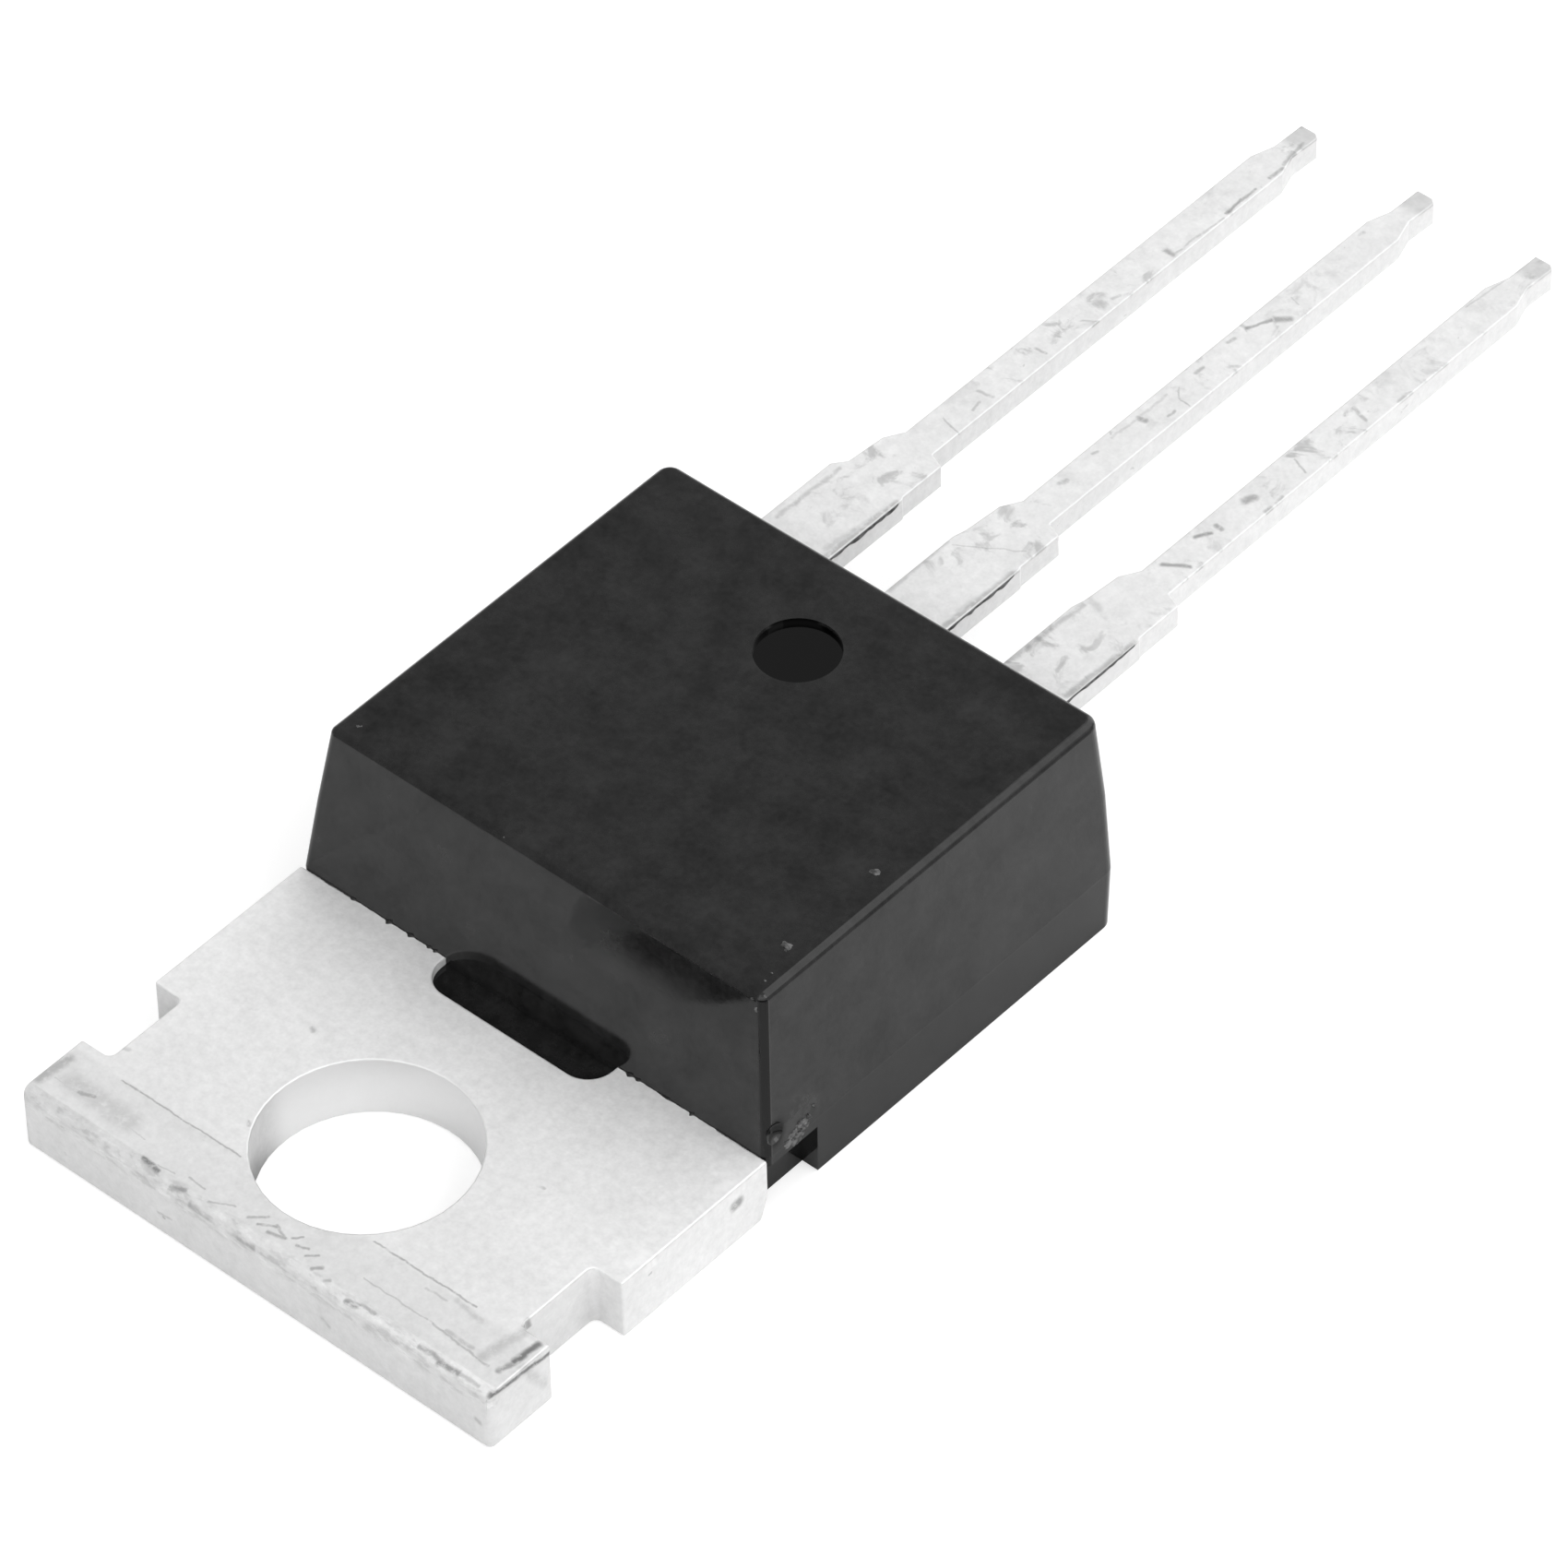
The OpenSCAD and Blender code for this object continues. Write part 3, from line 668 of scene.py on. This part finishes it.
def lumps(rows, seed, stacks, slices):
    """Irregular grains, each row a centre and three half sizes in mm: a sphere grid whose radius is 1
    plus or minus up to 'uneven' at random, stretched by the half sizes. Its poles are single points."""
    rng = np.random.default_rng(seed)
    rows = np.asarray(rows, float)
    centres, sizes = rows[:, :3], rows[:, 3:]
    uneven = 0.35
    n = len(rows)
    polar = np.linspace(0, math.pi, stacks + 1)[1:-1, None]
    turn = np.linspace(0, 2 * math.pi, slices, endpoint=False)
    ring = np.stack([np.sin(polar) * np.cos(turn), np.sin(polar) * np.sin(turn),
                     np.repeat(np.cos(polar), slices, 1)], -1).reshape(-1, 3)
    unit = np.concatenate([[[0, 0, 1.0]], ring, [[0, 0, -1.0]]])
    count = len(unit)
    rough = 1 + uneven * (rng.random((n, count, 1)) - 0.5) * 2
    points = centres[:, None] + unit[None] * rough * sizes[:, None]
    k = np.arange(slices)
    m = (k + 1) % slices
    top = np.stack([np.zeros(slices, int), 1 + k, 1 + m], 1)
    last = 1 + (stacks - 2) * slices
    end = np.stack([np.full(slices, count - 1), last + m, last + k], 1)
    first = np.arange(stacks - 2)[:, None] * slices + 1
    a, b = first + k, first + m
    c, d = b + slices, a + slices
    quads = np.concatenate([np.stack([a, d, c], -1).reshape(-1, 3), np.stack([a, c, b], -1).reshape(-1, 3)])
    one = np.concatenate([top, quads, end])
    faces = (one[None] + np.arange(n)[:, None, None] * count).reshape(-1, 3)
    return points.reshape(-1, 3) * MM, faces


def sweep_strip(path, reach, height, foot, out):
    """A thin skin of resin along a path, in mm: at each point a closed five-sided section that goes
    'reach' along out and 'height' up, with its foot sunk by 'foot'. The outer side is upright to a
    fifth of the height and then leans back. Both ends are closed."""
    out, up = np.asarray(out, float), np.array([0.0, 0.0, 1.0])
    n = len(path)
    reach, height = reach[:, None], height[:, None]
    section = np.stack([
        -foot * out - foot * up + path,
        reach * out - foot * up + path,
        reach * out + 0.2 * height * up + path,
        0.45 * reach * out + 0.7 * height * up + path,
        -foot * out + height * up + path], 1)
    points = section.reshape(-1, 3)
    i = np.arange(n - 1)[:, None] * 5
    k = np.arange(5)
    a, b = i + k, i + (k + 1) % 5
    quads = np.stack([a, b, b + 5, a + 5], -1).reshape(-1, 4)
    sides = np.concatenate([quads[:, [0, 1, 2]], quads[:, [0, 2, 3]]])
    caps = np.array([[0, 2, 1], [0, 3, 2], [0, 4, 3]])
    faces = np.concatenate([sides, caps, caps[:, ::-1] + (n - 1) * 5])
    centre = path.mean(0) + 0.3 * reach.mean() * out
    tri = points[sides]
    normal = np.cross(tri[:, 1] - tri[:, 0], tri[:, 2] - tri[:, 0])
    faces_inwards = (normal * (tri.mean(1) - centre)).sum() < 0
    return points * MM, faces[:, ::-1] if faces_inwards else faces


def joined(strips):
    """Several strips as one set of points and faces."""
    starts = np.cumsum([0] + [len(points) for points, faces in strips[:-1]])
    return (np.concatenate([points for points, faces in strips]),
            np.concatenate([faces + start for (points, faces), start in zip(strips, starts)]))


# The front resin line in mm: where each half starts and ends, and its teeth as x, reach, half width
FRONT_FLASH_FROM = 1.86
FRONT_FLASH_TO = 4.86
FRONT_TEETH = (
    (-3.87, 0.03, 0.05),
    (-3.08, 0.06, 0.05),
    (-2.61, 0.05, 0.05),
    (-2.21, 0.03, 0.04),
    (-2.07, 0.04, 0.03),
    (2.12, 0.05, 0.06),
    (2.29, 0.03, 0.04),
    (3.43, 0.05, 0.03),
    (2.9, 0.02, 0.1),
    (-4.4, 0.015, 0.1),
)

# The leads' resin skins: which lead, where the skin ends along y, and how tall it is, in mm
LEAD_SKINS = (
    (-1, 14.92, 0.05),
    (0, 14.86, 0.042),
    (1, 14.9, 0.032),
)

# The torn gate and the loose flakes in mm: centre, then three half sizes
GATE_LUMPS = (
    (4.95, 4.34, 1.2, 0.08, 0.13, 0.09),
    (4.96, 4.48, 1.14, 0.09, 0.13, 0.1),
    (4.96, 4.62, 1.17, 0.08, 0.12, 0.09),
    (4.95, 4.74, 1.24, 0.08, 0.11, 0.1),
    (4.94, 4.84, 1.36, 0.07, 0.08, 0.11),
    (4.94, 4.5, 1.3, 0.08, 0.14, 0.1),
    (4.94, 4.66, 1.38, 0.07, 0.12, 0.1),
    (4.925, 4.98, 1.53, 0.06, 0.05, 0.05),
)
FLAKES = (
    (-4.28, 4.6, 4.27, 0.035, 0.03, 0.02),
    (-4.24, 4.63, 4.27, 0.02, 0.02, 0.015),
    (4.12, 5.38, 4.275, 0.11, 0.08, 0.014),
    (4.18, 5.34, 4.272, 0.07, 0.09, 0.012),
    (4.35, 4.79, 4.275, 0.025, 0.02, 0.012),
    (4.37, 4.6, 4.272, 0.03, 0.025, 0.015),
    (4.408, 4.256, 4.173, 0.03, 0.02, 0.02),
    (4.509, 4.229, 4.004, 0.03, 0.02, 0.05),
    (4.12, 7.48, 4.275, 0.09, 0.08, 0.012),
    (-0.86, 4.3, 4.24, 0.016, 0.016, 0.012),
)


def front_flash():
    """The feathered resin line at the foot of the front: a wavering edge plus bell-shaped teeth."""
    rng = np.random.default_rng(4)
    strips = []
    for x0, x1 in ((-FRONT_FLASH_TO, -FRONT_FLASH_FROM), (FRONT_FLASH_FROM, FRONT_FLASH_TO)):
        x = np.linspace(x0, x1, 420)
        reach = 0.012 + 0.01 * np.interp(x, np.linspace(x0, x1, 60), rng.random(60))
        for at, size, wide in FRONT_TEETH:
            reach = reach + size * np.exp(-((x - at) / wide) ** 2)
        height = 0.012 + 0.3 * reach
        path = np.stack([x, np.full_like(x, PLASTIC_FRONT + 0.005), np.full_like(x, TAB_TOP)], 1)
        strips.append(sweep_strip(path, reach, height, 0.015, (0, -1, 0)))
    piece_from("front_flash", *joined(strips), PLASTIC)


def lead_flash():
    """Thin resin skins left on the leads' +X sides between the body and the cut bar's step: they
    waver, and run out over the last quarter of a millimetre by a square root."""
    rng = np.random.default_rng(9)
    strips = []
    y0 = PLASTIC_REAR - 0.06
    for lead, y1, tall in LEAD_SKINS:
        y = np.linspace(y0, y1, 160)
        wave = np.interp(y, np.linspace(y0, y1, 24), rng.random(24))
        tail = np.clip((y1 - y) / 0.25, 0, 1) ** 0.5
        reach = (0.008 + 0.012 * wave) * tail + 0.003
        height = (tall * (0.6 + 0.8 * wave)) * tail + 0.006
        side = np.full_like(y, lead * LEAD_SPACING + LEAD_HALF_WIDTH)
        path = np.stack([side, y, LEAD_TOP - 0.015 - height], 1)
        strips.append(sweep_strip(path, reach, height, 0.006, (1, 0, 0)))
    piece_from("lead_flash", *joined(strips), TORN)


def gate_tear():
    """The torn runner over the corner notch: rough lumps that overlap, cut off just past the side."""
    points, faces = lumps(GATE_LUMPS, 3, 8, 12)
    points[:, 0] = np.minimum(points[:, 0], (PLASTIC_SIDE + 0.015) * MM)
    piece_from("gate_tear", points, faces, TORN)


def loose_flakes():
    """Fine pale grains along the top edges and on the front corner, half sunk into the plastic."""
    piece_from("loose_flakes", *lumps(FLAKES, 5, 6, 8), TORN)


front_flash()
lead_flash()
gate_tear()
loose_flakes()


# Studio
def grey(value):
    return (value, value, value, 1.0)


def empty_sheet(tree):
    """A tree's sheet with its first nodes taken away."""
    s = Sheet(tree)
    for node in list(s.nodes):
        s.nodes.remove(node)
    return s


def floor_material():
    """White to the camera, with the object's shadow, and plain pale to the light that bounces.
    Reflections see a painted shade on it: deep under the front of the hole, brighter towards the lead tips,
    and dimmer well before the tab and well out on the +X side."""
    material = bpy.data.materials.new("pale_floor")
    material.use_nodes = True
    s = empty_sheet(material.node_tree)
    ray = s.add("ShaderNodeLightPath").outputs
    place = s.add("ShaderNodeTexCoord").outputs["Object"]
    x, y, z = s.split(place)
    in_hole = s.ramp_mm(s.vector("DISTANCE", place, (0.0, 0.0, 0.0)), 1.8, 2.2, 1.0, 0.0)
    under_hole = s.ramp_mm(y, -0.8, 0.2, 0.03, 0.74)
    past_side = s.ramp_mm(x, 12.2, 15.0, 1.0, 0.4)
    towards_tips = s.ramp_mm(y, 4.0, 22.0, 0.68, 1.0)
    before_tab = s.ramp_mm(y, -10.0, -3.0, 0.45, 1.0)
    mirrored = s.plus(s.times(past_side, towards_tips, before_tab, s.rest(in_hole)),
                      s.times(in_hole, under_hole))
    glossy = ray["Is Glossy Ray"]
    tone = s.plus(s.times(glossy, mirrored), s.times(s.rest(glossy), 0.88))
    seen_share = 0.55
    diffuse = s.add("ShaderNodeBsdfDiffuse")
    s.put(diffuse.inputs["Color"], s.blend(ray["Is Camera Ray"], s.even(tone), grey(seen_share)))
    glow = s.add("ShaderNodeEmission")
    s.put(glow.inputs["Color"], grey(1.0))
    s.put(glow.inputs["Strength"], s.times(ray["Is Camera Ray"], seen_share))
    both = s.add("ShaderNodeAddShader")
    s.put(both.inputs[0], diffuse.outputs[0])
    s.put(both.inputs[1], glow.outputs[0])
    s.put(s.add("ShaderNodeOutputMaterial").inputs["Surface"], both.outputs[0])
    return material


def pale_floor():
    """A flat round sheet just under the part: points at radius times (cos, sin) of even angles."""
    radius, height, count = 0.6, -0.00002, 96
    t = np.linspace(0, 2 * math.pi, count, endpoint=False)
    rim = np.stack([radius * np.cos(t), radius * np.sin(t), np.full(count, height)], 1)
    mesh = bpy.data.meshes.new("floor")
    mesh.from_pydata(rim.tolist(), [], [list(range(count))])
    mesh.update()
    mesh.materials.append(floor_material())
    floor = bpy.data.objects.new("floor", mesh)
    bpy.context.scene.collection.objects.link(floor)


def room():
    """White to the camera. To the light it is dim on the -X side, a wide bright window over the +X
    side with a dim ceiling straight above, and a darker horizon low on the +X side."""
    world = bpy.data.worlds.new("studio")
    bpy.context.scene.world = world
    world.use_nodes = True
    s = empty_sheet(world.node_tree)
    x, y, z = s.split(s.add("ShaderNodeTexCoord").outputs["Generated"])
    window = s.ramp(x, -0.42, -0.22)
    ceiling = s.ramp(z, 0.87, 0.94, 1.0, 0.15)
    over = s.plus(0.43, s.times(window, ceiling, 1.4))
    low_right = s.times(s.ramp(z, 0.2, 0.48, 1.0, 0.0), s.ramp(x, 0.1, 0.4))
    light = s.darker(over, low_right, 0.32)
    seen = s.add("ShaderNodeLightPath").outputs["Is Camera Ray"]
    background = s.add("ShaderNodeBackground")
    s.put(background.inputs["Color"], s.blend(seen, s.even(light), grey(1.0)))
    s.put(s.add("ShaderNodeOutputWorld").inputs["Surface"], background.outputs[0])


def direction(azimuth, elevation):
    """Unit vector from the object towards a lamp or the camera, from angles in degrees."""
    a, e = math.radians(azimuth), math.radians(elevation)
    return Vector((math.sin(a) * math.cos(e), -math.cos(a) * math.cos(e), math.sin(e)))


def key_lamp():
    """A square lamp on the +X side that looks at the middle of the object."""
    lamp = bpy.data.lights.new("key_right", "AREA")
    lamp.shape = "SQUARE"
    lamp.size = 0.28
    lamp.energy = 0.5
    obj = bpy.data.objects.new("key_right", lamp)
    bpy.context.scene.collection.objects.link(obj)
    middle = Vector((0, 0.009, 0.001))
    back = direction(100, 48)
    obj.location = middle + back * 0.5
    obj.rotation_mode = "QUATERNION"
    obj.rotation_quaternion = back.to_track_quat("Z", "Y")


# The camera fitted to the photograph: angles in degrees, places in mm, the lens by pixels of the frame
AZIMUTH = 42.57
ELEVATION = 45.22
ROLL = math.radians(-1.59)
LOOKS_AT = (-0.56, 10.53, 0.84)
CAMERA_DISTANCE = 179.5
FOCAL_PIXELS = 11966.0
FRAME_PIXELS = 1700.0
SENSOR_WIDTH = 36.0


def photo_camera():
    """The camera at the photograph's viewing angle."""
    back = direction(AZIMUTH, ELEVATION)
    right = Vector((0, 0, 1)).cross(back).normalized()
    up = back.cross(right)
    turned_right = right * math.cos(ROLL) + up * math.sin(ROLL)
    turned_up = up * math.cos(ROLL) - right * math.sin(ROLL)
    data = bpy.data.cameras.new("photo_camera")
    data.sensor_width = SENSOR_WIDTH
    data.lens = SENSOR_WIDTH * FOCAL_PIXELS / FRAME_PIXELS
    data.clip_start = 0.005
    data.clip_end = 10.0
    obj = bpy.data.objects.new("photo_camera", data)
    bpy.context.scene.collection.objects.link(obj)
    place = Matrix((turned_right, turned_up, back)).transposed().to_4x4()
    place.translation = (Vector(LOOKS_AT) + back * CAMERA_DISTANCE) * MM
    obj.matrix_world = place
    bpy.context.scene.camera = obj


pale_floor()
room()
key_lamp()
photo_camera()
bpy.context.scene.view_settings.view_transform = "Standard"
